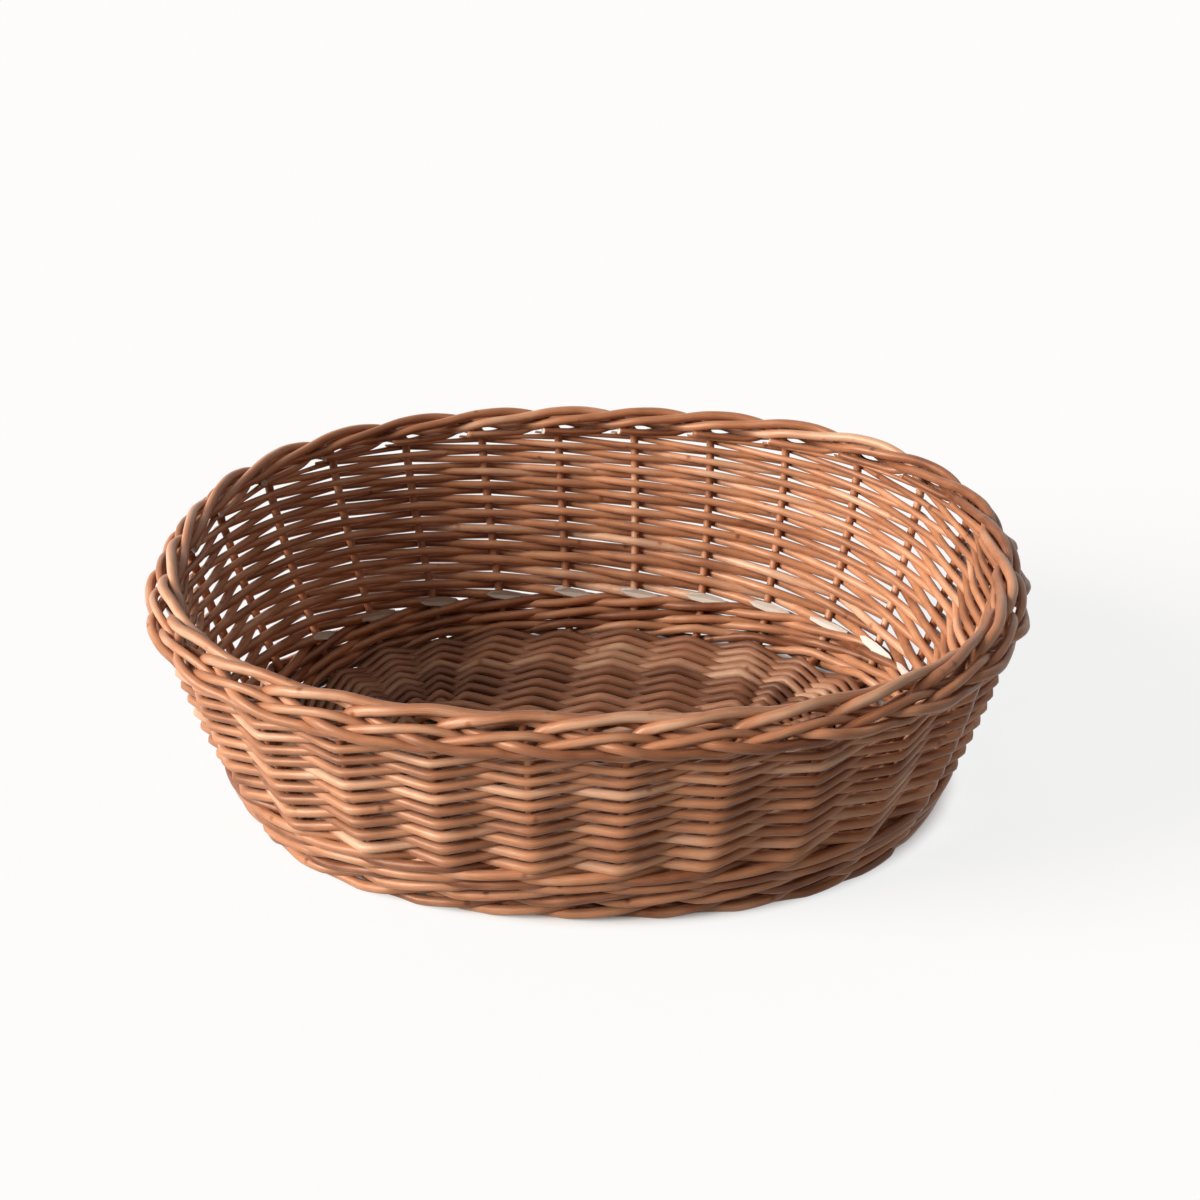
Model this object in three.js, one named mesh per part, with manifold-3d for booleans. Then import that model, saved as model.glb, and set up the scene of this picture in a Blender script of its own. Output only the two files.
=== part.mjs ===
// Oval wicker basket: split-stick base, upsett wale, French randed wall and rolled rod border.
// Every rod is its own closed tube, woven over and under its neighbours with a small seat gap.
// Millimetres, +Z up, long axis along X, standing on z = 0 with the origin under its middle.
import * as THREE from 'three';
import Module from 'manifold-3d';

const wasm = await Module();
wasm.setup();
const { Manifold, Mesh } = wasm;

// Overall size over the border.
const RIM_LENGTH = 450;
const RIM_WIDTH = 400;
const HEIGHT = 135;

// Plan shape: a superellipse, a little fuller than a plain ellipse.
const OVAL_POWER = 2.38;

// How far the wall flares from the foot bend up to the border.
const FLARE_ENDS = 28;
const FLARE_SIDES = 34;
const FLARE_POWER = 1.35;

// Stakes: the upright rods that also make the border.
const STAKE_DIAMETER = 4.8;
const FOOT_BEND_RADIUS = 11;
const FOOT_BEND_ANGLE = 66 * Math.PI / 180;
const FOOT_LENGTH = 34;
const WALL_RINGS = [0.3, 0.58, 0.82, 1];

// Where the stakes stand around the oval: the first one's place in stake spaces, how far they
// draw together at the round ends, and how much wider the spaces are behind than in front.
const STAKE_SHIFT = 0.41;
const GATHER_FOOT = 0.02;
const GATHER_RIM = -0.04;
const WIDER_BEHIND = 0.025;

// Space left between two rods that bear on each other.
const SEAT = 0.35;

// Rand: one rod to a stake, each thick at its butt and thin at its tip. The rods are sorted so
// that this many strokes, in and out by turns, fill the wall from the upsett to the border.
const RAND_STROKE_COUNT = 21;
const RAND_TIP_SHARE = 0.66;
const RAND_BUTT_TAIL = 0.3;
const RAND_TIP_TAIL = 0.4;

// Upsett: a three-rod wale, in front of two stakes and behind one.
const WALE_DIAMETER = 4.4;
const WALE_RODS = 3;
const WALE_ROUNDS = 3;
const WALE_START = 4;
const WALE_STEP_STAKES = 1;
const WALE_BUTT_TAIL = 0.2;
const FOOT_FLAT = 0.5;
const FLOOR_CUT_DEPTH = 10;

// Base: short sticks across, slit to take the long sticks, opened out like a fan and woven. The
// middle cross sticks stand well apart; those at each end stand close together as one group.
const CROSS_STICK_COUNT = 9;
const CROSS_STICK_SPACING = 38;
const END_GROUP_COUNT = 3;
const END_GROUP_SPACING = 6;
const LONG_STICK_COUNT = 5;
const STICK_DIAMETER = 4.6;
const STICK_END_GAP = 2;
const SLATH_OVERHANG = 9;
const SLATH_THICKNESS = 4.8;
const STICK_ROOT = 2;
const BASE_DOME = 3.4;
const BASE_ROD_DIAMETER = 3.6;
const BASE_ROD_SLACK = 0.45;
const BASE_RODS = 2;
const BASE_ROUNDS = 6;
const BASE_BUNDLED_ROUNDS = 2;
const BASE_END_START = 8;
const BASE_PAIR_LIFT = 0.6;
const BASE_EDGE_GAP = 5;

// How finely lines are followed, and how many sides a thick and a thin rod has.
const OVAL_STEPS = 2880;
const WALL_STEPS = 400;
const ROD_SIDES = 4;
const THIN_ROD_SIDES = 3;

const WILLOW = { stake: 0xb07a52, rand: 0xb98560, wale: 0xa9744d, stick: 0x9c6f4e, base: 0xa87a58 };
const ROUGHNESS = 0.62;

// The rod border, one waypoint a line: stake spaces to the right of its own stake, then the
// place out from the wall and up from the foot of the border in rod diameters, then the rod's
// thickness as a share of the stake's. The rod bends right, lies behind two stakes, comes out
// over the older rods, runs in front of three stakes and tucks in behind the sixth. Up to the
// first size a rod still stands upright, from there on it lies along the wall.
const BORDER_LEVEL_FROM = 0.3;
const BORDER_WAY = [
  { on: 0.00, out: -0.13, up: 1.21, thick: 1.00 },
  { on: 0.12, out: -0.31, up: 2.60, thick: 1.00 },
  { on: 0.50, out: -0.42, up: 3.13, thick: 1.00 },
  { on: 1.00, out: -1.23, up: 3.11, thick: 0.98 },
  { on: 1.50, out: -1.73, up: 2.48, thick: 0.98 },
  { on: 2.00, out: -1.61, up: 1.78, thick: 0.96 },
  { on: 2.45, out: -0.34, up: 1.94, thick: 0.94 },
  { on: 2.95, out: 2.09, up: 1.10, thick: 0.92 },
  { on: 3.50, out: 1.65, up: 0.36, thick: 0.90 },
  { on: 4.02, out: 0.89, up: 0.47, thick: 0.88 },
  { on: 4.50, out: 1.38, up: 2.37, thick: 0.85 },
  { on: 4.95, out: 1.09, up: 2.93, thick: 0.83 },
  { on: 5.50, out: -0.30, up: 0.65, thick: 0.79 },
  { on: 6.12, out: -1.28, up: 0.84, thick: 0.75 },
];

// Sizes that follow from the ones above. Each stick end carries one stake.
const STAKES = 2 * (CROSS_STICK_COUNT + LONG_STICK_COUNT);
const borderRise = Math.max(...BORDER_WAY.map((w) => (w.up + w.thick / 2))) * STAKE_DIAMETER;
const borderReach = Math.max(...BORDER_WAY.map((w) => (w.out + w.thick / 2))) * STAKE_DIAMETER;
const borderDrop = Math.max(...BORDER_WAY.map((w) => (w.thick / 2 - w.up))) * STAKE_DIAMETER;
const wallTopZ = HEIGHT - borderRise;
const rimA = RIM_LENGTH / 2 - borderReach;
const rimB = RIM_WIDTH / 2 - borderReach;
const bendRun = FOOT_BEND_RADIUS * Math.sin(FOOT_BEND_ANGLE);
const bendRise = FOOT_BEND_RADIUS * (1 - Math.cos(FOOT_BEND_ANGLE));
const bendArc = FOOT_BEND_RADIUS * FOOT_BEND_ANGLE;
const waleOffset = (STAKE_DIAMETER + WALE_DIAMETER) / 2 + SEAT;
const baseRise = (STICK_DIAMETER + BASE_ROD_DIAMETER) / 2 + SEAT + BASE_ROD_SLACK;
const footLean = Math.PI / 2 - (WALE_START - (WALE_DIAMETER + SEAT) / 2) / FOOT_BEND_RADIUS;
const footDrop = waleOffset * Math.sin(footLean) - FOOT_BEND_RADIUS * (1 - Math.sin(footLean));
const footZ = footDrop + WALE_DIAMETER / 2 - FOOT_FLAT;
const bendTopZ = footZ + bendRise;
const footA = rimA - FLARE_ENDS - bendRun;
const footB = rimB - FLARE_SIDES - bendRun;

const mix = (a, b, t) => a + (b - a) * t;
const clamp01 = (t) => Math.min(1, Math.max(0, t));

function ovalPoint(a, b, angle) {
  const c = Math.cos(angle);
  const s = Math.sin(angle);
  const r = (Math.abs(c / a) ** OVAL_POWER + Math.abs(s / b) ** OVAL_POWER) ** (-1 / OVAL_POWER);
  return [r * c, r * s];
}

function ovalNormal(a, b, x, y) {
  const gx = Math.sign(x) * Math.abs(x / a) ** (OVAL_POWER - 1) / a;
  const gy = Math.sign(y) * Math.abs(y / b) ** (OVAL_POWER - 1) / b;
  const g = Math.hypot(gx, gy);
  return [gx / g, gy / g];
}

// Gives the polar angle of stake number u on an oval, by arc length, drawn together at the ends.
function stakeAngles(a, b, gather) {
  const angle = [0];
  const length = [0];
  let [px, py] = ovalPoint(a, b, 0);
  for (let i = 1; i <= OVAL_STEPS; i++) {
    const t = i / OVAL_STEPS * 2 * Math.PI;
    const [x, y] = ovalPoint(a, b, t);
    angle.push(t);
    length.push(length[i - 1] + Math.hypot(x - px, y - py));
    [px, py] = [x, y];
  }
  return (u) => {
    const turn = (u - STAKE_SHIFT) / STAKES * 2 * Math.PI;
    const drawn = gather / 2 * Math.sin(2 * turn) + WIDER_BEHIND * Math.cos(turn);
    const eased = (turn - drawn) / (2 * Math.PI);
    const whole = Math.floor(eased);
    const want = (eased - whole) * length[OVAL_STEPS];
    let lo = 0;
    let hi = OVAL_STEPS;
    while (hi - lo > 1) {
      const mid = (lo + hi) >> 1;
      if (length[mid] <= want) lo = mid; else hi = mid;
    }
    const f = (want - length[lo]) / (length[hi] - length[lo]);
    return whole * 2 * Math.PI + mix(angle[lo], angle[hi], f);
  };
}
const rimAngle = stakeAngles(rimA, rimB, GATHER_RIM);
const footAngle = stakeAngles(footA, footB, GATHER_FOOT);

// The wall's upright line, by arc length h from where the stake leaves the base:
// first the foot bend, then the flared wall, then straight up through the border.
const meanFlare = (FLARE_ENDS + FLARE_SIDES) / 2;
const wallRise = wallTopZ - bendTopZ;
function wallLean(z) {
  const left = clamp01((wallTopZ - z) / wallRise);
  return Math.atan(FLARE_POWER * meanFlare / wallRise * left ** (FLARE_POWER - 1));
}
const wallArc = [0];
for (let i = 1; i <= WALL_STEPS; i++) {
  const z = bendTopZ + wallRise * (i - 0.5) / WALL_STEPS;
  wallArc.push(wallArc[i - 1] + wallRise / WALL_STEPS / Math.cos(wallLean(z)));
}
const wallTopH = bendArc + wallArc[WALL_STEPS];

function profile(h) {
  if (h <= 0) return { run: h, flare: 0, z: footZ, lean: Math.PI / 2 };
  if (h < bendArc) {
    const turned = h / FOOT_BEND_RADIUS;
    const run = FOOT_BEND_RADIUS * Math.sin(turned);
    return { run, flare: 0, z: footZ + FOOT_BEND_RADIUS * (1 - Math.cos(turned)), lean: Math.PI / 2 - turned };
  }
  if (h >= wallTopH) return { run: bendRun, flare: 1, z: wallTopZ + h - wallTopH, lean: 0 };
  let i = 0;
  while (wallArc[i + 1] < h - bendArc) i++;
  const f = (h - bendArc - wallArc[i]) / (wallArc[i + 1] - wallArc[i]);
  const t = (i + f) / WALL_STEPS;
  const z = bendTopZ + wallRise * t;
  return { run: bendRun, flare: 1 - (1 - t) ** FLARE_POWER, z, lean: wallLean(z) };
}

// A point of the wall: stake number u (it may lie between two), height h, offset r outwards.
function onWall(u, h, r) {
  const p = profile(h);
  const a = footA + p.run + FLARE_ENDS * p.flare;
  const b = footB + p.run + FLARE_SIDES * p.flare;
  const t = clamp01(h / wallTopH);
  const angle = mix(footAngle(u), rimAngle(u), t);
  const [x, y] = ovalPoint(a, b, angle);
  const [nx, ny] = ovalNormal(a, b, x, y);
  const out = r * Math.cos(p.lean);
  const normal = new THREE.Vector3(nx * Math.cos(p.lean), ny * Math.cos(p.lean), -Math.sin(p.lean));
  return { at: new THREE.Vector3(x + nx * out, y + ny * out, p.z - r * Math.sin(p.lean)), normal };
}

// A closed rod through the waypoints. Each waypoint has its place, its radius and a direction
// that keeps the section from turning.
function rod(way, sides, turn = 0) {
  const position = [];
  const index = [];
  const tangent = new THREE.Vector3();
  way.forEach((w, i) => {
    const before = way[Math.max(0, i - 1)].at;
    const after = way[Math.min(way.length - 1, i + 1)].at;
    const back = new THREE.Vector3().subVectors(w.at, before).normalize();
    const ahead = new THREE.Vector3().subVectors(after, w.at).normalize();
    tangent.addVectors(back, ahead).normalize();
    const side = new THREE.Vector3().crossVectors(tangent, w.normal).normalize();
    const up = new THREE.Vector3().crossVectors(side, tangent);
    for (let k = 0; k < sides; k++) {
      const a = (k + turn) / sides * 2 * Math.PI;
      const v = w.at.clone().addScaledVector(up, w.radius * Math.cos(a));
      v.addScaledVector(side, w.radius * Math.sin(a));
      position.push(v.x, v.y, v.z);
    }
  });
  for (let i = 0; i + 1 < way.length; i++) {
    for (let k = 0; k < sides; k++) {
      const n = (k + 1) % sides;
      const a = i * sides + k;
      const b = i * sides + n;
      index.push(a, b, a + sides, b, b + sides, a + sides);
    }
  }
  const last = (way.length - 1) * sides;
  for (let k = 1; k + 1 < sides; k++) {
    index.push(0, k + 1, k);
    index.push(last, last + k, last + k + 1);
  }
  const geometry = new THREE.BufferGeometry();
  geometry.setAttribute('position', new THREE.Float32BufferAttribute(position, 3));
  geometry.setIndex(index);
  return geometry;
}

function solid(geometry) {
  const vertProperties = new Float32Array(geometry.getAttribute('position').array);
  const triVerts = new Uint32Array(geometry.getIndex().array);
  const mesh = new Mesh({ numProp: 3, vertProperties, triVerts });
  mesh.merge();
  return new Manifold(mesh);
}

function fromSolid(body) {
  const mesh = body.getMesh();
  const geometry = new THREE.BufferGeometry();
  const position = [];
  for (let i = 0; i < mesh.numVert; i++) {
    for (let k = 0; k < 3; k++) position.push(mesh.vertProperties[i * mesh.numProp + k]);
  }
  geometry.setAttribute('position', new THREE.Float32BufferAttribute(position, 3));
  geometry.setIndex(Array.from(mesh.triVerts));
  return geometry;
}

const basket = new THREE.Group();
function addMesh(name, geometry, colour) {
  const material = new THREE.MeshStandardMaterial({ color: colour, roughness: ROUGHNESS, metalness: 0 });
  geometry.computeVertexNormals();
  const mesh = new THREE.Mesh(geometry, material);
  mesh.name = name;
  basket.add(mesh);
}
const two = (n) => String(n).padStart(2, '0');

// Base lines: sticks and feet fan out from the slath, the middle block where the long sticks lie
// side by side in the slits of the short ones. Each line ends beside the foot of one stake.
const crossHalf = (CROSS_STICK_COUNT - 1) / 2;
const aloneHalf = crossHalf - END_GROUP_COUNT + 1;
const longHalf = (LONG_STICK_COUNT - 1) / 2;
const firstStake = -Math.floor(longHalf);
const crossAt = (p) => {
  const far = Math.abs(p);
  const grouped = Math.max(0, far - aloneHalf);
  return Math.sign(p) * ((far - grouped) * CROSS_STICK_SPACING + grouped * END_GROUP_SPACING);
};
const slathX = crossAt(crossHalf) + SLATH_OVERHANG;
const slathY = LONG_STICK_COUNT * STICK_DIAMETER / 2;
const pairGap = (STAKE_DIAMETER + STICK_DIAMETER) / 2 + SEAT;

function onDome([x, y], lift = 0) {
  const out = clamp01((x / footA) ** 2 + (y / footB) ** 2);
  return new THREE.Vector3(x, y, footZ + BASE_DOME * (1 - out) + lift);
}
function step(from, direction, distance) {
  return [from[0] + direction[0] * distance, from[1] + direction[1] * distance];
}
function heading(from, to) {
  const length = Math.hypot(to[0] - from[0], to[1] - from[1]);
  const out = [(to[0] - from[0]) / length, (to[1] - from[1]) / length];
  return { length, out, left: [-out[1], out[0]] };
}
function baseLine(i) {
  const side = i < STAKES / 2 ? 1 : -1;
  const n = i % (STAKES / 2);
  const isLong = n < LONG_STICK_COUNT;
  const start = isLong
    ? [side * slathX, side * (n - longHalf) * STICK_DIAMETER]
    : [side * crossAt(crossHalf + LONG_STICK_COUNT - n), side * slathY];
  const { x, y } = onWall(firstStake + i, 0, 0).at;
  const stake = heading(start, [x, y]);
  const end = step(step([x, y], stake.left, pairGap), stake.out, -STICK_END_GAP);
  const stick = heading(start, end);
  const foot = step(step(end, stick.left, -pairGap), stick.out, STICK_END_GAP - FOOT_LENGTH);
  const fromLeft = n - LONG_STICK_COUNT;
  const fromRight = STAKES / 2 - 1 - n;
  const isGrouped = isLong || Math.min(fromLeft, fromRight) < END_GROUP_COUNT;
  const groupFirst = isLong ? 0 : fromLeft < fromRight ? LONG_STICK_COUNT : STAKES / 2 - END_GROUP_COUNT;
  return { isLong, isGrouped, groupFirst, start, end, foot, stick };
}
const baseLines = [];
for (let i = 0; i < STAKES; i++) baseLines.push(baseLine(i));
const lineOfStake = (s) => baseLines[(s - firstStake + STAKES) % STAKES];

// Stakes: foot beside a base stick, bend, wall, then the rod's own stretch of the border.
const stakeRadius = STAKE_DIAMETER / 2;
for (let s = 0; s < STAKES; s++) {
  const across = new THREE.Vector3().subVectors(onWall(s + 0.5, 0, 0).at, onWall(s - 0.5, 0, 0).at);
  across.normalize();
  const way = [{ at: onDome(lineOfStake(s).foot), normal: across, radius: stakeRadius }];
  for (const h of [0, bendArc / 2, bendArc]) {
    way.push({ at: onWall(s, h, 0).at, normal: across, radius: stakeRadius });
  }
  for (const share of WALL_RINGS) {
    way.push({ at: onWall(s, mix(bendArc, wallTopH, share), 0).at, normal: across, radius: stakeRadius });
  }
  for (const w of BORDER_WAY) {
    const place = onWall(s + w.on, wallTopH + w.up * STAKE_DIAMETER, w.out * STAKE_DIAMETER);
    const normal = w.on < BORDER_LEVEL_FROM ? across : place.normal;
    way.push({ at: place.at, normal, radius: stakeRadius * w.thick });
  }
  addMesh(`stake_${two(s + 1)}`, rod(way, ROD_SIDES), WILLOW.stake);
}

// Rand: rod m starts with its butt inside stake m and works to the right, out and in by turns,
// climbing one rod's thickness at each stake, so that every rod lies on the one before it.
const waleLay = WALE_DIAMETER + SEAT;
const randFloor = WALE_START + 2 * waleLay * WALE_ROUNDS - waleLay / 2 + SEAT;
const randCeiling = wallTopH - borderDrop - SEAT;
const randThickness = (randCeiling - randFloor - RAND_STROKE_COUNT * SEAT) / (RAND_STROKE_COUNT + 1);
const randButt = 2 * randThickness / (1 + RAND_TIP_SHARE);
const randRadius = (c) => mix(randButt, randButt * RAND_TIP_SHARE, clamp01(c / RAND_STROKE_COUNT)) / 2;
const layHeight = [randFloor + randRadius(0)];
for (let c = 1; c <= RAND_STROKE_COUNT; c++) {
  layHeight.push(layHeight[c - 1] + randRadius(c - 1) + randRadius(c) + SEAT);
}
const randHeight = (c) => {
  const i = Math.max(0, Math.min(RAND_STROKE_COUNT - 1, Math.floor(c)));
  return mix(layHeight[i], layHeight[i + 1], c - i);
};
for (let m = 0; m < STAKES; m++) {
  const way = [];
  const put = (c, side) => {
    const radius = randRadius(c);
    const offset = side * (stakeRadius + radius + SEAT);
    const w = onWall(m + c, randHeight(c), offset);
    way.push({ at: w.at, normal: w.normal, radius });
  };
  put(-RAND_BUTT_TAIL, -1);
  for (let c = 0; c <= RAND_STROKE_COUNT; c++) put(c, c % 2 ? 1 : -1);
  const lastSide = RAND_STROKE_COUNT % 2 ? 1 : -1;
  put(RAND_STROKE_COUNT + RAND_TIP_TAIL, lastSide * (1 - 2 * RAND_TIP_TAIL));
  addMesh(`rand_rod_${two(m + 1)}`, rod(way, ROD_SIDES), WILLOW.rand);
}

// Upsett wale: level rounds that step up by one lay over the last stakes of each round. The butts
// of the second and third rod are pressed onto the rod before, which makes the wale one body.
function waleHeight(u) {
  const turn = u / STAKES;
  const round = Math.floor(turn);
  const late = (turn - round) * STAKES - (STAKES - WALE_STEP_STAKES);
  return WALE_START + 2 * waleLay * (round + clamp01(late / WALE_STEP_STAKES));
}
function waleRod(first) {
  const way = [];
  const put = (u, lift, side) => {
    const w = onWall(u, waleHeight(u) + lift * waleLay / 2, side * waleOffset);
    way.push({ at: w.at, normal: w.normal, radius: WALE_DIAMETER / 2 });
  };
  const end = STAKES * WALE_ROUNDS - WALE_STEP_STAKES;
  if (first > 0) put(first - WALE_BUTT_TAIL, 0, 1);
  for (let u = first; u < end; u++) {
    const phase = (u - first) % WALE_RODS;
    if (phase === 0) put(u, -1, 1);
    if (phase === 1) {
      put(u, 1, 1);
      put(u + 0.5, 1, 0);
    }
    if (phase === 2) {
      put(u, 0, -1);
      put(u + 0.5, -1, 0);
    }
  }
  return solid(rod(way, THIN_ROD_SIDES));
}
let wale = waleRod(0);
for (let q = 1; q < WALE_RODS; q++) wale = wale.add(waleRod(q));
const floorSlab = new THREE.BoxGeometry(RIM_LENGTH, RIM_WIDTH, FLOOR_CUT_DEPTH);
floorSlab.translate(0, 0, -FLOOR_CUT_DEPTH / 2);
wale = wale.subtract(solid(floorSlab));
addMesh('upsett_wale', fromSolid(wale), WILLOW.wale);

// Sticks: one body, since the long ones are wedged in the slits of the short ones.
function stick(places) {
  const up = new THREE.Vector3(0, 0, 1);
  const way = places.map((place) => ({ at: onDome(place), normal: up, radius: STICK_DIAMETER / 2 }));
  return solid(rod(way, ROD_SIDES));
}
const slath = new THREE.BoxGeometry(2 * slathX, 2 * slathY, SLATH_THICKNESS);
slath.translate(0, 0, (onDome([0, 0]).z + onDome([slathX, 0]).z) / 2);
let sticks = solid(slath);
baseLines.forEach((line, i) => {
  const root = step(line.start, line.stick.out, -STICK_ROOT);
  if (line.isLong) {
    sticks = sticks.add(stick([root, line.end]));
  } else if (i < STAKES / 2) {
    const far = baseLines[STAKES - 1 - i + LONG_STICK_COUNT];
    sticks = sticks.add(stick([line.end, root, step(far.start, far.stick.out, -STICK_ROOT), far.end]));
  }
});
addMesh('base_sticks', fromSolid(sticks), WILLOW.stick);

// Base weaving: two rods chase each other over and under, from the slath out to the edge. The
// first rounds take the long sticks and each group of end sticks as one bundle. Where the feet
// lie, a rod rides over or under stick and foot together.
for (let q = 0; q < BASE_RODS; q++) {
  const way = [];
  for (let c = 0; c < STAKES * BASE_ROUNDS; c++) {
    const i = c % STAKES;
    const line = baseLines[i];
    const bundled = line.isGrouped && c < STAKES * BASE_BUNDLED_ROUNDS;
    const parity = bundled ? line.groupFirst : i;
    const over = (parity + q) % 2 ? -1 : 1;
    const from = line.isLong ? BASE_END_START : BASE_ROD_DIAMETER / 2 + SEAT;
    const share = (c / STAKES + q / BASE_RODS) / (BASE_ROUNDS + (BASE_RODS - 1) / BASE_RODS);
    const reach = mix(from, line.stick.length - BASE_EDGE_GAP, share);
    const paired = reach > line.stick.length + STICK_END_GAP - FOOT_LENGTH - BASE_ROD_DIAMETER;
    const place = step(step(line.start, line.stick.out, reach), line.stick.left, paired ? -pairGap / 2 : 0);
    const rise = baseRise + (paired ? BASE_PAIR_LIFT : 0);
    way.push({ at: onDome(place, over * rise), normal: new THREE.Vector3(0, 0, 1), radius: BASE_ROD_DIAMETER / 2 });
  }
  addMesh(`base_rod_${q + 1}`, rod(way, THIN_ROD_SIDES), WILLOW.base);
}

export default basket;
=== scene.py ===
import bpy
import numpy as np
from mathutils import Matrix, Vector


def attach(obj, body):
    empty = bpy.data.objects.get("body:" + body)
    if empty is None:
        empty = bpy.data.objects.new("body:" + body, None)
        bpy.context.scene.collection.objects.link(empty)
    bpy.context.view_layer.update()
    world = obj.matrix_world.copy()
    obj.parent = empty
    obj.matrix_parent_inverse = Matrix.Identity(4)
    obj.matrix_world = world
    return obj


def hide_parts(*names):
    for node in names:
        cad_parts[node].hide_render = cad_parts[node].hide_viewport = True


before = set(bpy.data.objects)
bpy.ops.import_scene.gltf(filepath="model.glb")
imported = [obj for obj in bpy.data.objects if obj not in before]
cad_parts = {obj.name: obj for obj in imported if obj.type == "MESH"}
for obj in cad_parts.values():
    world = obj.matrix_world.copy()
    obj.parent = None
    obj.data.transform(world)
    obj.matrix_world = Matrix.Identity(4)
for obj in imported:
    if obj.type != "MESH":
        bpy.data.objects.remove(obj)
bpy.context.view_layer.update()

# Base sticks: nine short willow sticks lie across the middle, slit at their centres, and five long
# sticks are wedged through the slits. The middle ones stand apart and run straight across, the
# three at each end stand close together, and they and the long ones are fanned out to the stakes.
STICK = 0.0048
CROSS_STICKS = 9
LONG_STICKS = 5
CROSS_SPACING = 0.038
END_GROUP = 3
END_SPACING = 0.006
SLATH_OVERHANG = 0.009
STICK_END_GAP = 0.002
STICK_BEND = 0.01
STICK_STRAIGHT = 0.9
STICK_CUT = 0.004
BASE_DOME = 0.0034
STAKES = 2 * (CROSS_STICKS + LONG_STICKS)
HALF_ROUND = STAKES // 2
PAIR_GAP = 0.0049

# The sticks end at the foot of the wall: an oval, bent up sharply and flared out to the rim.
OVAL_POWER = 2.38
OVAL_CUTS = 2880
FOOT_HALF = (0.1732, 0.1425)
RIM_HALF = (0.21276, 0.18776)
FOOT_Z = 0.00648
BEND_RADIUS = 0.006
BEND_ANGLE = np.radians(66)
WALL_TOP_Z = 0.11758
WALL_CUTS = 400
FLARE_POWER = 1.25
STAKE_SHIFT = 0.41
FOOT_TWIST = 0.10
GATHER_FOOT = 0.02
GATHER_RIM = -0.04
WIDER_BEHIND = 0.025

bend_arc = BEND_RADIUS * BEND_ANGLE
bend_run = BEND_RADIUS * np.sin(BEND_ANGLE)
flare_run = (RIM_HALF[0] - FOOT_HALF[0] - bend_run, RIM_HALF[1] - FOOT_HALF[1] - bend_run)
bend_top_z = FOOT_Z + BEND_RADIUS * (1 - np.cos(BEND_ANGLE))
wall_rise = WALL_TOP_Z - bend_top_z
foot_slope = FLARE_POWER * np.mean(flare_run) / wall_rise
wall_share = np.linspace(0, 1, WALL_CUTS + 1)
wall_slope = foot_slope * (1 - wall_share[:-1] - 0.5 / WALL_CUTS) ** (FLARE_POWER - 1)
wall_arc = np.concatenate(([0], np.cumsum(wall_rise / WALL_CUTS * np.hypot(1, wall_slope))))
wall_top_h = bend_arc + wall_arc[-1]


def oval_point(a, b, angle):
    """The point at an angle of an oval with full shoulders, a and b from its middle to its sides."""
    c, s = np.cos(angle), np.sin(angle)
    r = (abs(c / a) ** OVAL_POWER + abs(s / b) ** OVAL_POWER) ** (-1 / OVAL_POWER)
    return r * c, r * s


def stake_angle(a, b, gather, shift):
    """Where stake number u stands on an oval, drawn together a little at the round ends."""
    angle = np.linspace(0, 2 * np.pi, OVAL_CUTS + 1)
    x, y = oval_point(a, b, angle)
    length = np.concatenate(([0], np.cumsum(np.hypot(np.diff(x), np.diff(y)))))

    def at(u):
        turn = (u - shift) / STAKES * 2 * np.pi
        eased = (turn - gather / 2 * np.sin(2 * turn) - WIDER_BEHIND * np.cos(turn)) / (2 * np.pi)
        whole = np.floor(eased)
        return whole * 2 * np.pi + np.interp((eased - whole) * length[-1], length, angle)
    return at


foot_angle = stake_angle(*FOOT_HALF, GATHER_FOOT, STAKE_SHIFT + FOOT_TWIST)
rim_angle = stake_angle(*RIM_HALF, GATHER_RIM, STAKE_SHIFT)


def on_wall(u, h, out):
    """A point u stakes round the wall, h along it from the base and out from its middle line,
    with the direction that faces outwards there."""
    u, h, out = np.broadcast_arrays(*(np.asarray(value, float) for value in (u, h, out)))
    turned = np.clip(h, 0, bend_arc) / BEND_RADIUS
    share = np.interp(h - bend_arc, wall_arc, wall_share)
    run = np.minimum(h, 0) + BEND_RADIUS * np.sin(turned)
    flare = 1 - (1 - share) ** FLARE_POWER
    above = np.maximum(h - wall_top_h, 0)
    z = FOOT_Z + BEND_RADIUS * (1 - np.cos(turned)) + wall_rise * share + above
    lean = np.arctan(foot_slope * (1 - share) ** (FLARE_POWER - 1))
    lean = np.where(h < bend_arc, np.pi / 2 - turned, np.where(h >= wall_top_h, 0, lean))
    a = FOOT_HALF[0] + run + flare_run[0] * flare
    b = FOOT_HALF[1] + run + flare_run[1] * flare
    t = np.clip(h / wall_top_h, 0, 1)
    angle = foot_angle(u) * (1 - t) + rim_angle(u) * t
    x, y = oval_point(a, b, angle)
    gx = np.sign(x) * abs(x / a) ** (OVAL_POWER - 1) / a
    gy = np.sign(y) * abs(y / b) ** (OVAL_POWER - 1) / b
    g = np.hypot(gx, gy)
    nx, ny = gx / g, gy / g
    reach = out * np.cos(lean)
    at = np.stack([x + nx * reach, y + ny * reach, z - out * np.sin(lean)], -1)
    facing = np.stack([nx * np.cos(lean), ny * np.cos(lean), -np.sin(lean)], -1)
    return at, facing


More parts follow.
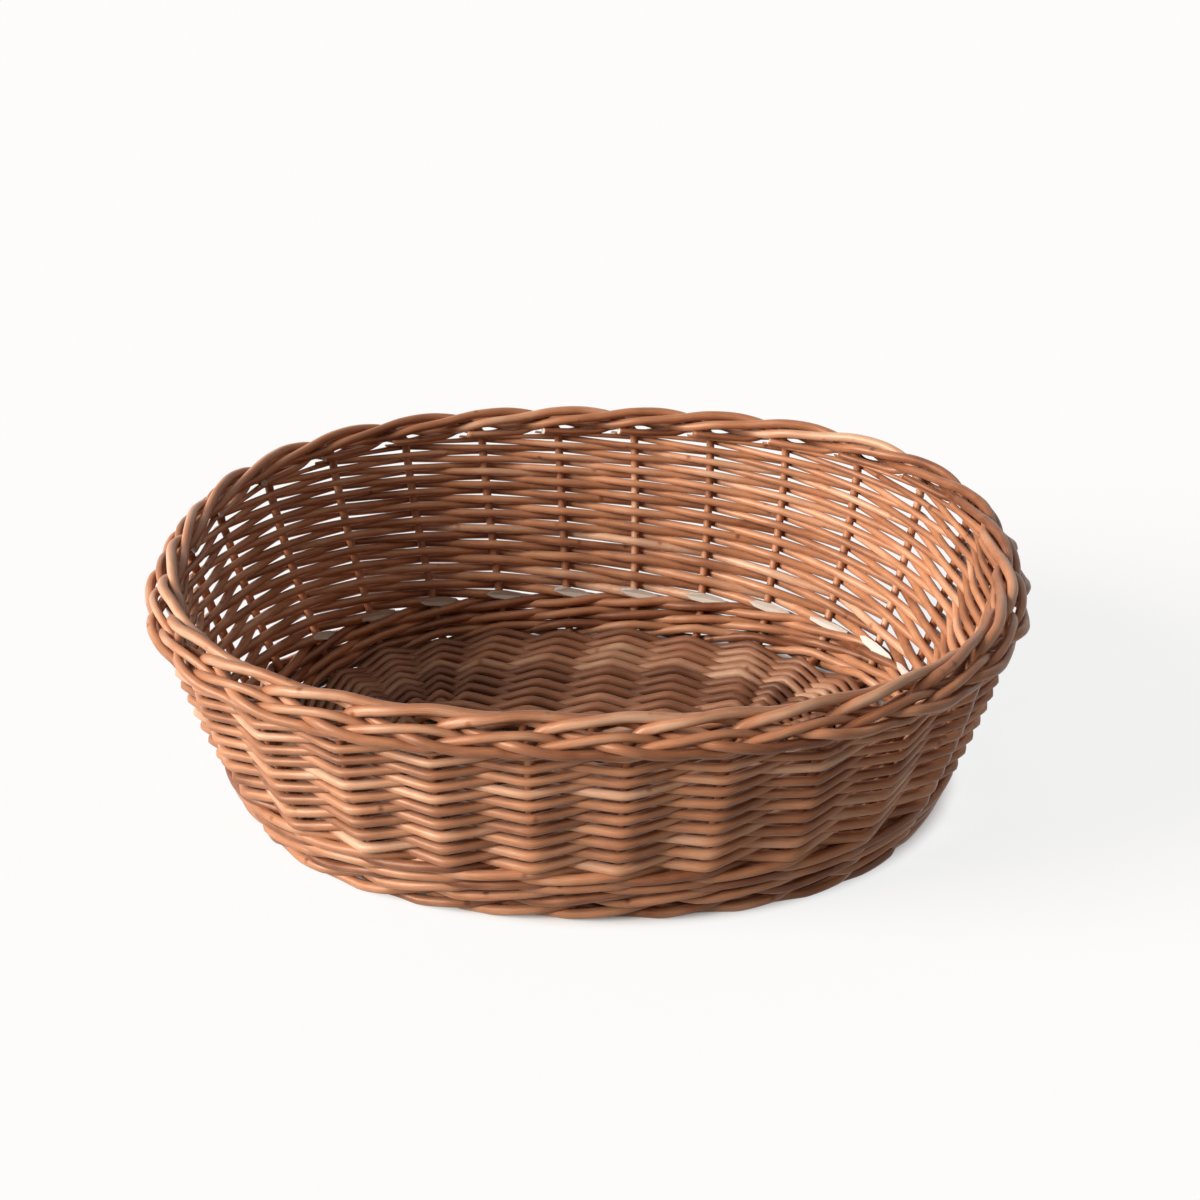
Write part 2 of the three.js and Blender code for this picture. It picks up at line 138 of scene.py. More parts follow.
def smooth_keys(keys, spacing):
    """Rows of a table joined by a smooth curve through every row, cut fine: the first column says
    how far along each row lies."""
    keys = np.asarray(keys, float)
    t = keys[:, 0]
    slope = np.gradient(keys, t, axis=0)
    fine = np.linspace(t[0], t[-1], max(2, int(np.ceil((t[-1] - t[0]) / spacing)) + 1))
    i = np.clip(np.searchsorted(t, fine, "right") - 1, 0, len(t) - 2)
    d = (t[i + 1] - t[i])[:, None]
    s = ((fine - t[i]) / (t[i + 1] - t[i]))[:, None]
    a, b = keys[i], keys[i + 1]
    return (a * (1 + 2 * s) * (1 - s) ** 2 + b * s * s * (3 - 2 * s)
            + d * slope[i] * s * (1 - s) ** 2 - d * slope[i + 1] * s * s * (1 - s))


def through(points, spacing):
    """A smooth curve in space through the points, cut at about the given spacing."""
    points = np.asarray(points, float)
    length = np.concatenate(([0], np.cumsum(np.linalg.norm(np.diff(points, axis=0), axis=1))))
    return smooth_keys(np.column_stack([length, points]), spacing)[:, 1:]


dice = np.random.default_rng(28)


def wander(count, step, size):
    """Slow, soft ups and downs along a rod of so many cuts, as a grown shoot has."""
    knots = dice.normal(0, size, int(count / step) + 4)
    x = np.arange(count) / step
    i = x.astype(int)
    f = x - i
    f = f * f * (3 - 2 * f)
    return knots[i] * (1 - f) + knots[i + 1] * f


def add_node(tree, kind, **values):
    """A new node in a material, with its inputs or else its settings given by name."""
    made = tree.nodes.new(kind)
    for key, value in values.items():
        if key in made.inputs:
            made.inputs[key].default_value = value
        else:
            setattr(made, key, value)
    return made


def add_range(tree, value, start, end, low, high, **values):
    """A value's span from start to end, drawn as low to high."""
    made = add_node(tree, "ShaderNodeMapRange", **values)
    for key, edge in (("From Min", start), ("From Max", end), ("To Min", low), ("To Max", high)):
        made.inputs[key].default_value = edge
    tree.links.new(value, made.inputs["Value"])
    return made.outputs["Result"]


GRAIN_STRETCH = 0.045
GRAIN_SCALE = 2600
PATCH_SCALE = 26
SCAR_SCALE = 62
SCAR_SIZE = 0.13
PATCH_LIGHTENS = 0.75
GRAIN_LIGHTENS = 0.42
SCAR_DARKENS = 0.4
RUB_LIGHTENS = 0.35
RAMP_AT = (0.2, 0.6, 0.98)
DULLER = 0.12
SCAR_RELIEF = 0.8


def willow(name, dark, mid, light, gloss):
    """Buff willow: a boiled and peeled shoot. Tone differs from rod to rod and along each rod, with
    fine grain lengthways, small bud scars, a thin dull polish, and paler wear where hands rub it."""
    m = bpy.data.materials.new(name)
    m.use_nodes = True
    tree = m.node_tree
    link = tree.links.new
    skin = tree.nodes["Principled BSDF"]

    grain = add_node(tree, "ShaderNodeAttribute", attribute_name="grain").outputs["Vector"]
    tone = add_node(tree, "ShaderNodeAttribute", attribute_name="tone").outputs["Fac"]
    rub = add_node(tree, "ShaderNodeAttribute", attribute_name="rub").outputs["Fac"]
    stretch = add_node(tree, "ShaderNodeMapping", Scale=(GRAIN_STRETCH, 1, 1))
    link(grain, stretch.inputs["Vector"])
    fine = add_node(tree, "ShaderNodeTexNoise", Scale=GRAIN_SCALE, Detail=3, Roughness=0.6)
    link(stretch.outputs["Vector"], fine.inputs["Vector"])
    patch = add_node(tree, "ShaderNodeTexNoise", Scale=PATCH_SCALE, Detail=3, Roughness=0.55)
    link(grain, patch.inputs["Vector"])
    scars = add_node(tree, "ShaderNodeTexVoronoi", Scale=SCAR_SCALE, Randomness=1)
    link(grain, scars.inputs["Vector"])
    scar = add_range(tree, scars.outputs["Distance"], 0, SCAR_SIZE, 1, 0)

    def added(a, b, amount):
        """a + b * amount, as plain numbers."""
        made = add_node(tree, "ShaderNodeMath", operation="MULTIPLY_ADD")
        link(b, made.inputs[0])
        made.inputs[1].default_value = amount
        link(a, made.inputs[2])
        return made.outputs[0]

    level = added(tone, patch.outputs["Fac"], PATCH_LIGHTENS)
    level = added(level, fine.outputs["Fac"], GRAIN_LIGHTENS)
    level = added(level, scar, -SCAR_DARKENS)
    level = added(level, rub, RUB_LIGHTENS)
    ramp = add_node(tree, "ShaderNodeValToRGB")
    stops = ramp.color_ramp.elements
    stops[0].position, stops[0].color = RAMP_AT[0], (*dark, 1)
    stops[1].position, stops[1].color = RAMP_AT[2], (*light, 1)
    stops.new(RAMP_AT[1]).color = (*mid, 1)
    link(level, ramp.inputs["Fac"])
    link(ramp.outputs["Color"], skin.inputs["Base Color"])
    link(add_range(tree, patch.outputs["Fac"], 0.3, 0.75, gloss + DULLER, gloss), skin.inputs["Roughness"])
    bump = add_node(tree, "ShaderNodeBump", Strength=0.35, Distance=0.0003)
    link(added(fine.outputs["Fac"], scar, SCAR_RELIEF), bump.inputs["Height"])
    link(bump.outputs["Normal"], skin.inputs["Normal"])
    skin.inputs["Specular IOR Level"].default_value = 0.5
    skin.inputs["Specular Tint"].default_value = (1, 0.84, 0.7, 1)
    skin.inputs["Sheen Weight"].default_value = 0.12
    skin.inputs["Sheen Roughness"].default_value = 0.42
    skin.inputs["Sheen Tint"].default_value = (1, 0.86, 0.72, 1)
    return m


def cut_wood(name, colour):
    """The pale, open face where a knife has gone through a rod."""
    return willow(name, tuple(c * 0.6 for c in colour), tuple(c * 0.9 for c in colour), colour, 0.72)


SWELL = 0.022
SWELL_CUTS = 9
SLYPE_RUN = 0.04
SLYPE_TURN = 0.45
ROD_TONES = (-0.3, 0.16)


def rod(name, places, radii, facing, skin, cut, sides=9, rub=None,
        slants=(0.5, 0.5), slype=0, pale_ends=(1, 1)):
    """One tube for each rod of a piece: places, radii and facing are lists, one for each rod. slants
    says by how many radii each end is cut on the slant, and pale_ends where the cut face is pale.
    slype makes the first cut a long one that looks inwards, or outwards when it is negative. rub
    says how worn each place is."""
    verts, faces, caps, grain, tones, rubs = [], [], [], [], [], []
    for at, radius, up in zip(places, radii, facing):
        at = np.asarray(at)
        count = len(at)
        radius = np.broadcast_to(radius, count) * (1 + wander(count, SWELL_CUTS, SWELL))
        along = np.gradient(at, axis=0)
        along /= np.linalg.norm(along, axis=1)[:, None]
        side = np.cross(along, up)
        side /= np.linalg.norm(side, axis=1)[:, None]
        up = np.cross(side, along)
        a = np.arange(sides) / sides * 2 * np.pi
        ring = (up[:, None] * np.cos(a)[None, :, None] + side[:, None] * np.sin(a)[None, :, None])
        ring = ring * radius[:, None, None]
        turn = dice.uniform(0, 2 * np.pi, 2)
        lean = np.cos(a[None, :] - turn[:, None]) * radius[[0, -1], None] * np.asarray(slants)[:, None]
        points = at[:, None] + ring
        points[0] += along[0] * lean[0][:, None]
        points[-1] += along[-1] * lean[1][:, None]
        length = np.concatenate(([0], np.cumsum(np.linalg.norm(np.diff(at, axis=0), axis=1))))
        if slype:
            turn = (np.pi if slype > 0 else 0) + dice.uniform(-SLYPE_TURN, SLYPE_TURN)
            cut_back = abs(slype) * radius[0] * (1 + np.cos(a - turn))
            moved = length[:, None] + cut_back * np.clip(1 - length / SLYPE_RUN, 0, 1)[:, None]
            for j in range(sides):
                slid = [np.interp(moved[:, j], length, line) for line in points[:, j].T]
                points[:, j] = np.stack(slid, -1)
        first = sum(len(v) for v in verts)
        verts.append(points.reshape(-1, 3))
        shift = dice.uniform(0, 10, 3)
        g = np.empty((count, sides, 3))
        g[..., 0] = length[:, None] + shift[0]
        g[..., 1] = np.cos(a)[None, :] * radius.mean() + shift[1]
        g[..., 2] = np.sin(a)[None, :] * radius.mean() + shift[2]
        grain.append(g.reshape(-1, 3))
        tones.append(np.full(count * sides, dice.uniform(*ROD_TONES)))
        worn = rub(at)[:, None] if rub else np.zeros((count, 1))
        rubs.append((worn * np.clip(np.cos(a), 0, 1)[None, :]).ravel())
        i = np.arange(count - 1)[:, None] * sides
        j = np.arange(sides)[None, :]
        n = (j + 1) % sides
        strips = np.stack([i + j, i + n, i + sides + n, i + sides + j], -1)
        faces.append((strips + first).reshape(-1, 4))
        start = list(range(first, first + sides))
        caps.append(start[::-1])
        caps.append([(count - 1) * sides + s for s in start])
    verts = np.concatenate(verts)
    faces = np.concatenate(faces)
    mesh = bpy.data.meshes.new(name)
    mesh.vertices.add(len(verts))
    mesh.vertices.foreach_set("co", verts.astype(np.float32).ravel())
    loops = np.concatenate([faces.ravel(), np.concatenate(caps)])
    sizes = np.concatenate([np.full(len(faces), 4), [len(c) for c in caps]])
    starts = np.concatenate(([0], np.cumsum(sizes)[:-1]))
    pale = np.concatenate([np.zeros(len(faces)), np.tile(pale_ends, len(places))])
    mesh.loops.add(len(loops))
    mesh.loops.foreach_set("vertex_index", loops.astype(np.int32))
    mesh.polygons.add(len(sizes))
    mesh.polygons.foreach_set("loop_start", starts.astype(np.int32))
    mesh.polygons.foreach_set("material_index", pale.astype(np.int32))
    mesh.polygons.foreach_set("use_smooth", np.repeat([True, False], [len(faces), len(caps)]))
    mesh.materials.append(skin)
    mesh.materials.append(cut)
    mesh.update(calc_edges=True)
    mesh.validate()
    for what, kind, field, values in (("grain", "FLOAT_VECTOR", "vector", grain),
                                      ("tone", "FLOAT", "value", tones), ("rub", "FLOAT", "value", rubs)):
        mesh.attributes.new(what, kind, "POINT").data.foreach_set(
            field, np.concatenate(values).astype(np.float32).ravel())
    made = bpy.data.objects.new(name, mesh)
    bpy.context.scene.collection.objects.link(made)
    return made


def heading(start, end):
    """How far it is from start to end, the way there, and the way to its left."""
    length = np.hypot(*(np.asarray(end) - start))
    out = (np.asarray(end) - start) / length
    return length, out, np.array([-out[1], out[0]])


def on_dome(x, y, lift=0.0):
    """The base is domed up a little, so that the basket stands on its edge."""
    share = np.clip((x / FOOT_HALF[0]) ** 2 + (y / FOOT_HALF[1]) ** 2, 0, 1)
    return np.stack([x, y, FOOT_Z + BASE_DOME * (1 - share) + lift], -1)


def level_facing(at):
    """The way up at each place of a rod that lies flat."""
    return np.tile([0, 0, 1.0], (len(at), 1))


def cross_at(p):
    """Where cross stick number p from the middle lies along the basket."""
    grouped = max(0, abs(p) - ((CROSS_STICKS - 1) / 2 - END_GROUP + 1))
    return np.sign(p) * ((abs(p) - grouped) * CROSS_SPACING + grouped * END_SPACING)


slath_x = cross_at((CROSS_STICKS - 1) / 2) + SLATH_OVERHANG
slath_y = LONG_STICKS * STICK / 2
arms = []
for i in range(STAKES):
    side = 1 if i < HALF_ROUND else -1
    n = i % HALF_ROUND
    is_long = n < LONG_STICKS
    if is_long:
        start = np.array([side * slath_x, side * (n - (LONG_STICKS - 1) / 2) * STICK])
    else:
        start = np.array([side * cross_at((CROSS_STICKS - 1) / 2 + LONG_STICKS - n), side * slath_y])
    ground = on_wall(i - 2, 0, 0)[0][:2]
    _, out, left = heading(start, ground)
    end = ground + left * PAIR_GAP - out * STICK_END_GAP
    length, out, left = heading(start, end)
    group = 0 if is_long else LONG_STICKS if n < LONG_STICKS + END_GROUP else HALF_ROUND - END_GROUP
    alone = LONG_STICKS + END_GROUP <= n < HALF_ROUND - END_GROUP
    arms.append({"is_long": is_long, "start": start, "end": end, "length": length, "out": out,
                 "left": left, "group": n if alone else group, "alone": alone})

stick_skin = willow("stick willow", (0.11, 0.026, 0.007), (0.31, 0.105, 0.038), (0.5, 0.24, 0.11), 0.42)
pale_cut = cut_wood("cut willow", (0.86, 0.78, 0.69))
places = []
for i, arm in enumerate(arms[:HALF_ROUND]):
    if arm["is_long"]:
        far = arms[LONG_STICKS - 1 - i + HALF_ROUND]
        inner = [arm["start"] * (STICK_STRAIGHT, 1), far["start"] * (STICK_STRAIGHT, 1)]
    else:
        far = arms[STAKES - 1 - i + LONG_STICKS]
        inner = []
    along = through([arm["end"], arm["start"] + arm["out"] * STICK_BEND, arm["start"], *inner,
                     far["start"], far["start"] + far["out"] * STICK_BEND, far["end"]], STICK_CUT)
    places.append(on_dome(along[:, 0], along[:, 1]))
base_sticks = rod("base_sticks", places, [STICK / 2] * len(places), [level_facing(at) for at in places],
                  stick_skin, pale_cut)
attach(base_sticks, "root")
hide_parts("base_sticks")

# Base weaving: two courses of willow rods chase each other round the sticks, each over one and under
# the next, packed tight from the middle out to the edge, with new rods joined in where one ends. The
# first rounds take the long sticks as a bundle, and each group of end sticks too.
BASE_ROD = 0.0055
BASE_ROUNDS = 11
BUNDLED_ROUNDS = 2
BASE_SHARPNESS = 0.985
BASE_CUTS = 12
LONG_START = 0.006
CROSS_START = BASE_ROD / 2 + 0.0003
BASE_EDGE_GAP = 0.0004
FLOOR_GAP = 0.0004
FOOT_LENGTH = 0.034
FIRST_JOINS = (17, 29)
JOIN_EVERY = 41
JOIN_BEFORE, JOIN_AFTER = 3, 5
LAST_ROD_CUTS = 200
BASE_SLYPE = -2.6

base_skin = willow("base willow", (0.1, 0.028, 0.01), (0.32, 0.13, 0.064), (0.6, 0.36, 0.23), 0.38)
for q, first_join in enumerate(FIRST_JOINS):
    keys = []
    for c in range(STAKES * BASE_ROUNDS):
        i = c % STAKES
        arm = arms[i]
        bundled = not arm["alone"] and c < STAKES * BUNDLED_ROUNDS
        parity = arm["group"] if bundled else i
        over = -1 if (parity + q) % 2 else 1
        near = LONG_START if arm["is_long"] else CROSS_START
        share = (c / STAKES + q / 2) / (BASE_ROUNDS + 0.5)
        reach = near + (arm["length"] - BASE_EDGE_GAP - near) * share
        paired = reach > arm["length"] - FOOT_LENGTH - BASE_ROD
        at = arm["start"] + arm["out"] * reach - arm["left"] * (PAIR_GAP / 2 if paired else 0)
        keys.append([c, *at, over * (STICK + BASE_ROD) / 2])
    keys = np.array(keys)
    c = np.linspace(0, len(keys) - 1.001, len(keys) * BASE_CUTS)
    i = c.astype(int)
    f = (c - i)[:, None]
    dip = (1 - np.arcsin(BASE_SHARPNESS * np.cos(np.pi * f[:, 0])) / np.arcsin(BASE_SHARPNESS)) / 2
    flat = keys[i, 1:3] * (1 - f) + keys[i + 1, 1:3] * f
    at = on_dome(flat[:, 0], flat[:, 1], keys[i, 3] * (1 - dip) + keys[i + 1, 3] * dip)
    at[:, 2] = np.maximum(at[:, 2], BASE_ROD / 2 + FLOOR_GAP)
    joins = range(first_join * BASE_CUTS, len(at) - LAST_ROD_CUTS, JOIN_EVERY * BASE_CUTS)
    joins = [0, *joins, len(at)]
    places = [at[max(0, a - JOIN_BEFORE):b + JOIN_AFTER] for a, b in zip(joins, joins[1:])]
    base_rod = rod(f"base_rod_{q + 1}", places, [BASE_ROD / 2] * len(places),
                   [level_facing(p) for p in places], base_skin, pale_cut, sides=8,
                   slants=(0, 0.5), slype=BASE_SLYPE)
    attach(base_rod, "root")
    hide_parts(f"base_rod_{q + 1}")

# Stakes: twenty-eight thick rods, slyped to a long point and pushed in beside the sticks, kinked up
# at the edge and woven round. Above the wall each one is bent to the right and makes the rolled
# border: behind two stakes, in front of three and tucked away behind the sixth.
STAKE = 0.0049
STAKE_POINT = 0.35
STAKE_POINT_CUTS = 12
STAKE_CUT = 0.003
KINK_AT = np.array([0, 0.35, 0.7, 1])
WALL_POINTS = 8
BESIDE = 0.02
BORDER_ROD = 0.0048
BORDER_CUT = 0.05
BORDER_BLEND = 0.4
WORN_FROM_Z, WORN_OVER = 0.118, 0.012
# Each row: stakes to the right, rods outwards, rods upwards, thickness.
BORDER_WAY = [
    (0.00, -0.05, 0.20, 1.08), (0.10, 0.00, 1.40, 1.10), (0.28, 0.25, 2.20, 1.10),
    (0.55, 0.38, 2.75, 1.10), (1.00, -0.26, 3.04, 1.09), (1.50, -0.80, 2.46, 1.06),
    (2.00, -1.10, 2.05, 1.04), (2.25, -0.60, 1.45, 1.03), (2.43, 0.05, 1.20, 1.02),
    (2.60, 0.60, 1.05, 1.02), (2.75, 1.20, 0.86, 1.02), (2.90, 1.85, 0.92, 1.01),
    (3.05, 2.08, 0.70, 1.00), (3.30, 1.94, 0.22, 0.99), (3.65, 1.50, 0.06, 0.97),
    (4.00, 1.12, -0.08, 0.95), (4.20, 1.20, 0.60, 0.94), (4.50, 1.45, 1.34, 0.92),
    (4.75, 1.36, 1.70, 0.90), (4.97, 1.15, 1.72, 0.88), (5.20, 0.70, 1.22, 0.86),
    (5.45, 0.15, 0.38, 0.83), (5.75, -0.60, 0.48, 0.80), (6.00, -0.98, 0.66, 0.78),
    (6.20, -1.02, 0.76, 0.77),
]


def hand_worn(at):
    """The rim is rubbed by hands, more the higher it is."""
    return np.clip((at[:, 2] - WORN_FROM_Z) / WORN_OVER, 0, 1)


stake_skin = willow("stake willow", (0.15, 0.039, 0.012), (0.46, 0.185, 0.086), (0.73, 0.45, 0.29), 0.34)
way = smooth_keys(BORDER_WAY, BORDER_CUT)
blend = np.clip(way[:, 0] / BORDER_BLEND, 0, 1)[:, None]
for s in range(STAKES):
    arm = arms[(s + 2) % STAKES]
    across = on_wall(s + BESIDE, 0, 0)[0] - on_wall(s - BESIDE, 0, 0)[0]
    across /= np.linalg.norm(across)
    beside_stick = arm["end"] - arm["left"] * PAIR_GAP
    points = [on_dome(*(beside_stick + arm["out"] * (STICK_END_GAP - f * FOOT_LENGTH)))
              for f in (1, 0.66, 0.33)]
    points += list(on_wall(s, KINK_AT * bend_arc, 0)[0])
    points += list(on_wall(s, np.linspace(bend_arc, wall_top_h, WALL_POINTS)[1:], 0)[0])
    rim, rim_facing = on_wall(s + way[:, 0], wall_top_h + way[:, 2] * BORDER_ROD, way[:, 1] * BORDER_ROD)
    upright = through(points + [rim[0]], STAKE_CUT)[:-1]
    at = np.concatenate([upright, rim])
    up = np.concatenate([np.tile(across, (len(upright), 1)), across * (1 - blend) + rim_facing * blend])
    radius = np.full(len(at), STAKE / 2)
    radius[len(upright):] = way[:, 3] * STAKE / 2
    radius[:STAKE_POINT_CUTS] *= np.linspace(STAKE_POINT, 1, STAKE_POINT_CUTS)
    stake = rod(f"stake_{s + 1:02d}", [at], [radius], [up], stake_skin, pale_cut, sides=10, rub=hand_worn)
    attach(stake, "root")
    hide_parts(f"stake_{s + 1:02d}")

# Upsett wale: three willow rods twisted round the foot of the wall, each in front of two stakes and
# behind the third. They start at the left end and go round three times and a half, so that the
# front has four rows and the back three. The first row is tucked under and the basket stands on it.
WALE = 0.0052
WALE_RODS = 3
WALE_START = HALF_ROUND
WALE_STROKES = 99
WALE_OUT = 0.0048
WALE_DRAWN_IN = (0.88, 0.92, 1)
WALE_CUT = 0.06
WALE_WANDER = (12, 0.0003)
WALE_CROSSING = 0.7
# Heights by half turns, front and back alternately: the two strokes in front, and the one behind.
WALE_TURNS = (0, 0.45, 0.55, 0.95, 1.05, 1.45, 1.55, 1.95, 2.05, 2.45, 2.55, 2.95, 3.05, 3.6)
WALE_LOW = (0.0025, 0.0026, 0.0135, 0.0103, 0.0245, 0.0188, 0.032)
WALE_HIGH = (0.0055, 0.0068, 0.0205, 0.0149, 0.0285, 0.0234, 0.036)
WALE_BEHIND = (0.0042, 0.0055, 0.013, 0.0126, 0.022, 0.0198, 0.030)


def on_chord(u, h, out):
    """As on_wall, but for a rod that is pulled straight from stake to stake."""
    u, h, out = np.broadcast_arrays(*(np.asarray(value, float) for value in (u, h, out)))
    first = np.floor(u)
    f = (u - first)[:, None]
    (a, facing_a), (b, facing_b) = on_wall(first, h, 0), on_wall(first + 1, h, 0)
    facing = facing_a * (1 - f) + facing_b * f
    facing /= np.linalg.norm(facing, axis=1)[:, None]
    return a * (1 - f) + b * f + facing * out[:, None], facing


wale_skin = willow("wale willow", (0.16, 0.042, 0.013), (0.5, 0.21, 0.1), (0.74, 0.47, 0.31), 0.36)
for q in range(WALE_RODS):
    keys = []
    for u in range(WALE_START + q, WALE_START + WALE_STROKES):
        phase = (u - WALE_START - q) % WALE_RODS
        if phase == 0:
            keys.append((u, 1, 0, 1))
        if phase == 1:
            keys += [(u, 0, 1, 1), (u + 0.5, 0, WALE_CROSSING, 0)]
        if phase == 2:
            keys += [(u, 0, 0, -1), (u + 0.5, WALE_CROSSING, 0, 0)]
    u, is_low, is_high, is_front = smooth_keys(keys, WALE_CUT).T
    turns = (u - WALE_START) / STAKES
    low, high, behind = (np.interp(turns, WALE_TURNS, np.repeat(row, 2))
                         for row in (WALE_LOW, WALE_HIGH, WALE_BEHIND))
    h = is_low * low + is_high * high + (1 - is_low - is_high) * behind
    out = is_front * WALE_OUT * np.interp(turns, (0, 0.5, 1), WALE_DRAWN_IN)
    at, up = on_chord(u, h + wander(len(h), *WALE_WANDER), out)
    at[:, 2] = np.maximum(at[:, 2], WALE / 2 + FLOOR_GAP)
    wale = rod(f"wale_rod_{q + 1}", [at], [WALE / 2], [up], wale_skin, pale_cut, sides=8)
    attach(wale, "root")
    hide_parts("upsett_wale")

# Rand: twenty-eight slender rods, one to each stake. Each starts with its butt inside its own stake
# and goes out and in by turns to the right, climbing its own thickness at every stake, so that each
# lies on the rod before it. Those of the front start two stakes later, on top of the wale's last row.
RAND_BUTT = 0.0057
RAND_TIP = 0.0037
RAND_STROKES = 21
RAND_START = 0.0256
RAND_END = 0.1180
RAND_FRONT = range(HALF_ROUND - 1, STAKES)
RAND_FRONT_LATER = 2
RAND_BUTT_STROKES = 0.42
RAND_TIP_STROKES = 1.3
RAND_TIP_TAPER = 0.6
RAND_SHARPNESS = 0.988
RAND_CUTS = 18
RAND_WANDER = (14, 0.00028)
RAND_SLYPE = 4.6
STAKE_GAP = 0.0001

rand_skin = willow("rand willow", (0.17, 0.046, 0.015), (0.53, 0.23, 0.112), (0.8, 0.53, 0.36), 0.35)
stroke = np.arange(RAND_STROKES + 1)
thick = (RAND_BUTT + (RAND_TIP - RAND_BUTT) * stroke / RAND_STROKES) / 2
lay = np.concatenate(([0], np.cumsum(thick[:-1] + thick[1:])))
lay = RAND_START + (RAND_END - RAND_START) * lay / lay[-1]
for m in range(STAKES):
    first = RAND_FRONT_LATER if m in RAND_FRONT else 0
    c = np.linspace(first - RAND_BUTT_STROKES, RAND_STROKES + RAND_TIP_STROKES,
                    int((RAND_STROKES - first) * RAND_CUTS))
    wave = -np.arcsin(RAND_SHARPNESS * np.cos(np.pi * c)) / np.arcsin(RAND_SHARPNESS)
    radius = (RAND_BUTT + (RAND_TIP - RAND_BUTT) * np.clip(c / RAND_STROKES, 0, 1)) / 2
    radius *= 1 - RAND_TIP_TAPER * np.clip(c - RAND_STROKES, 0, 1)
    h = np.interp(c, stroke, lay) + wander(len(c), *RAND_WANDER)
    h += np.minimum(c, 0) * (lay[1] - lay[0]) + np.maximum(c - RAND_STROKES, 0) * (lay[-1] - lay[-2])
    at, up = on_chord(m + c, h, wave * (STAKE / 2 + radius + STAKE_GAP))
    rand = rod(f"rand_rod_{m + 1:02d}", [at], [radius], [up], rand_skin, pale_cut, sides=8,
               slants=(0, 0.5), slype=RAND_SLYPE, pale_ends=(1, 0))
    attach(rand, "root")
    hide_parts(f"rand_rod_{m + 1:02d}")

# Floor and backdrop: a wide sheet of paper that the basket stands on. The camera sees it white, with
# the basket's faint soft shadow on it. Near and under the basket the white is faded out by position,
# a painted contact shade over the shadow the paper really has there, and its warm tint there is
# painted bounce light from the willow. The light that it throws back up is that of a grey table.
PAPER_SIZE = 12
PAPER_SHINES = 0.85
# The white glow fades out in an oval round the foot, moved a little to the back right where the shadow
# falls: a painted contact shade.
PAINTED_SHADE_MIDDLE = (0.003, 0.003, 0)
PAINTED_SHADE_TO, WHITE_FROM = 1.03, 1.14

bpy.ops.mesh.primitive_plane_add(size=PAPER_SIZE, location=(0, 0, 0))
paper = bpy.context.object
paper.name = "paper_floor"
sheet = bpy.data.materials.new("paper")
sheet.use_nodes = True
sheet_tree = sheet.node_tree
sheet_link = sheet_tree.links.new
matt_with_painted_bounce = sheet_tree.nodes["Principled BSDF"]
# The matt paper's warm tint, seen only where the glow fades, is painted bounce light from the willow.
matt_with_painted_bounce.inputs["Base Color"].default_value = (0.95, 0.9, 0.84, 1)
matt_with_painted_bounce.inputs["Roughness"].default_value = 0.9
table = add_node(sheet_tree, "ShaderNodeBsdfDiffuse", Color=(0.3, 0.29, 0.28, 1))


def seen_directly(tree):
    """1 for what the camera sees, straight or in a shiny or clear surface."""
    path = add_node(tree, "ShaderNodeLightPath")
    seen = path.outputs["Is Camera Ray"]
    for ray in ("Is Glossy Ray", "Is Transmission Ray"):
        either = add_node(tree, "ShaderNodeMath", operation="MAXIMUM")
        tree.links.new(seen, either.inputs[0])
        tree.links.new(path.outputs[ray], either.inputs[1])
        seen = either.outputs[0]
    return seen


def mixed(tree, amount, first, second):
    """Two shaders by an amount, from the first to the second."""
    made = add_node(tree, "ShaderNodeMixShader")
    tree.links.new(amount, made.inputs["Fac"])
    tree.links.new(first.outputs[0], made.inputs[1])
    tree.links.new(second.outputs[0], made.inputs[2])
    return made


place = add_node(sheet_tree, "ShaderNodeNewGeometry")
from_middle = add_node(sheet_tree, "ShaderNodeVectorMath", operation="SUBTRACT")
from_middle.inputs[1].default_value = PAINTED_SHADE_MIDDLE
sheet_link(place.outputs["Position"], from_middle.inputs[0])
oval = add_node(sheet_tree, "ShaderNodeVectorMath", operation="MULTIPLY")
oval.inputs[1].default_value = (1 / FOOT_HALF[0], 1 / FOOT_HALF[1], 0)
sheet_link(from_middle.outputs[0], oval.inputs[0])
away = add_node(sheet_tree, "ShaderNodeVectorMath", operation="LENGTH")
sheet_link(oval.outputs[0], away.inputs[0])
# No glow near and under the basket, so the paper there shows dark: painted shade set by position.
glow_outside_painted_shade = add_range(sheet_tree, away.outputs["Value"], PAINTED_SHADE_TO, WHITE_FROM, 0, PAPER_SHINES,
                       interpolation_type="SMOOTHSTEP")
white_paper = add_node(sheet_tree, "ShaderNodeEmission", Strength=1.0)
lit_paper = mixed(sheet_tree, glow_outside_painted_shade, matt_with_painted_bounce, white_paper)
both = mixed(sheet_tree, seen_directly(sheet_tree), table, lit_paper)
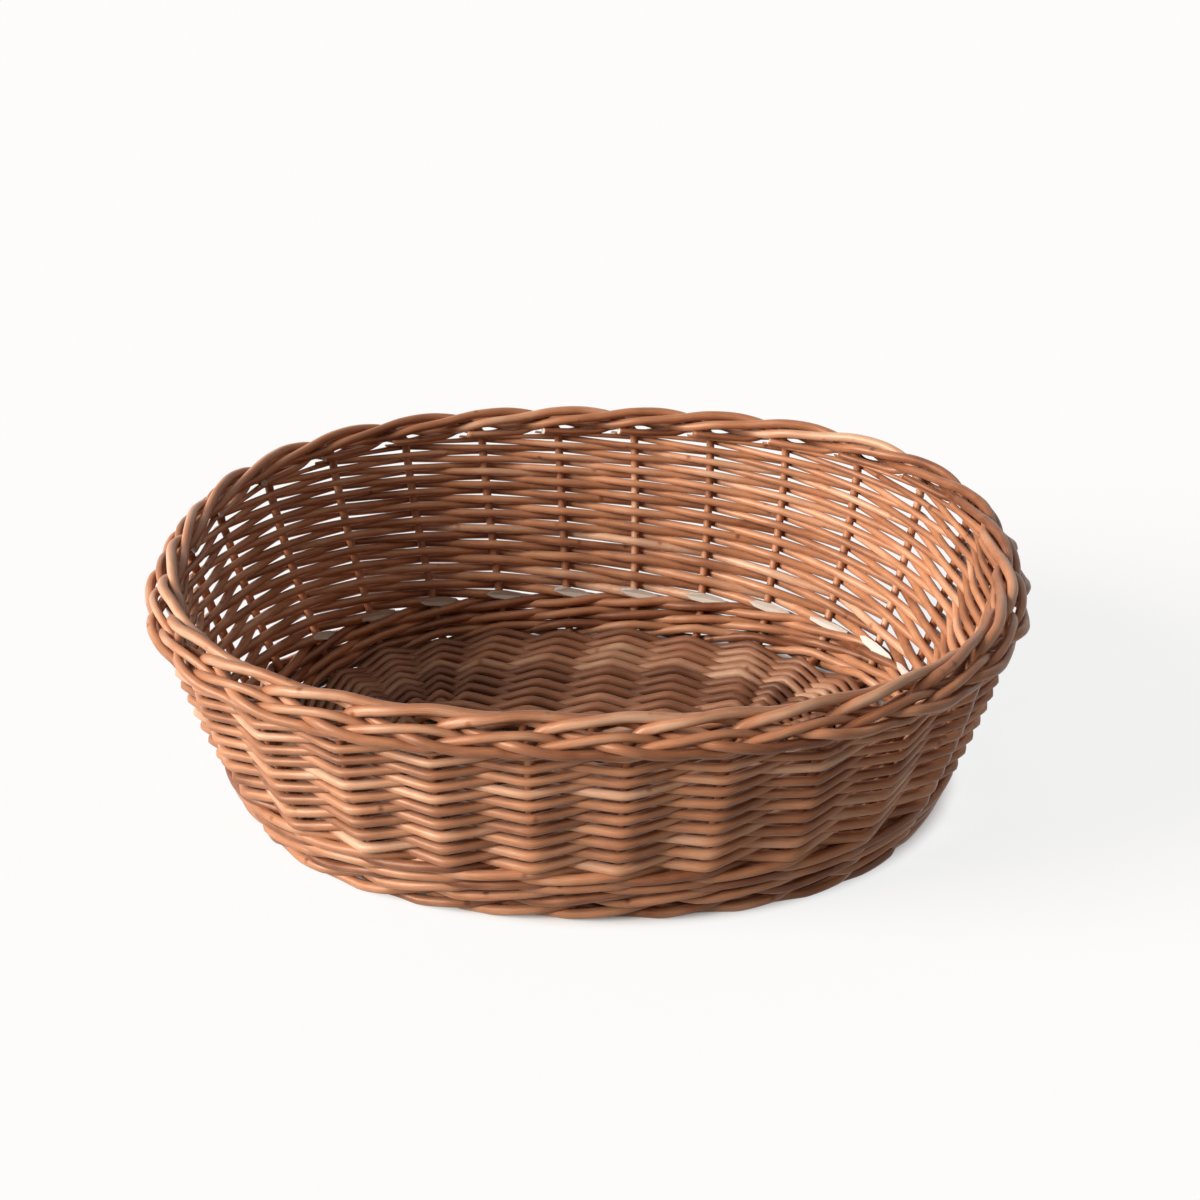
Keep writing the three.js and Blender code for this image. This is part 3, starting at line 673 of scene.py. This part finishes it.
sheet_link(both.outputs[0], sheet_tree.nodes["Material Output"].inputs["Surface"])
paper.data.materials.append(sheet)

# Light: low, soft daylight from a wide window on the left, and a dim room, which the camera and
# every shiny surface see as plain white.
sun = bpy.data.lights.new("window_light", "SUN")
sun.energy = 5.3
sun.color = (1, 0.975, 0.94)
sun.angle = np.radians(32)
window = bpy.data.objects.new("window_light", sun)
window.rotation_mode = "QUATERNION"
window.rotation_quaternion = Vector((-1.0, -0.43, 0.55)).to_track_quat("Z", "Y")
bpy.context.scene.collection.objects.link(window)

world = bpy.data.worlds.new("room")
world.use_nodes = True
room_tree = world.node_tree
room = room_tree.nodes["Background"]
room.inputs["Color"].default_value = (1, 0.93, 0.86, 1)
room.inputs["Strength"].default_value = 0.17
white = add_node(room_tree, "ShaderNodeBackground", Color=(1, 1, 1, 1), Strength=1.0)
choose = mixed(room_tree, seen_directly(room_tree), room, white)
room_tree.links.new(choose.outputs[0], room_tree.nodes["World Output"].inputs["Surface"])
bpy.context.scene.world = world

# Camera: it stands about a metre in front of the basket and a little to the right of its middle,
# above the rim, and looks down into it over the front wall.
LENS = 61.884
ELEVATION = 0.4547
YAW = -0.0408
ROLL = 0.0024
DISTANCE = 1.0816
LOOK_AT = Vector((0.00554, 0, 0.0978))

forward = Vector((np.sin(YAW) * np.cos(ELEVATION), np.cos(YAW) * np.cos(ELEVATION), -np.sin(ELEVATION)))
right = Vector((np.cos(YAW), -np.sin(YAW), 0))
up = right.cross(forward)
cam_x = right * np.cos(ROLL) - up * np.sin(ROLL)
cam_y = right * np.sin(ROLL) + up * np.cos(ROLL)
lens = bpy.data.cameras.new("camera")
lens.lens = LENS
lens.sensor_width = 36
lens.clip_start, lens.clip_end = 0.05, 30
camera = bpy.data.objects.new("camera", lens)
camera.matrix_world = Matrix.Translation(LOOK_AT - forward * DISTANCE) @ Matrix(
    (cam_x, cam_y, -forward)).transposed().to_4x4()
bpy.context.scene.collection.objects.link(camera)
bpy.context.scene.camera = camera
bpy.context.scene.view_settings.view_transform = "Standard"
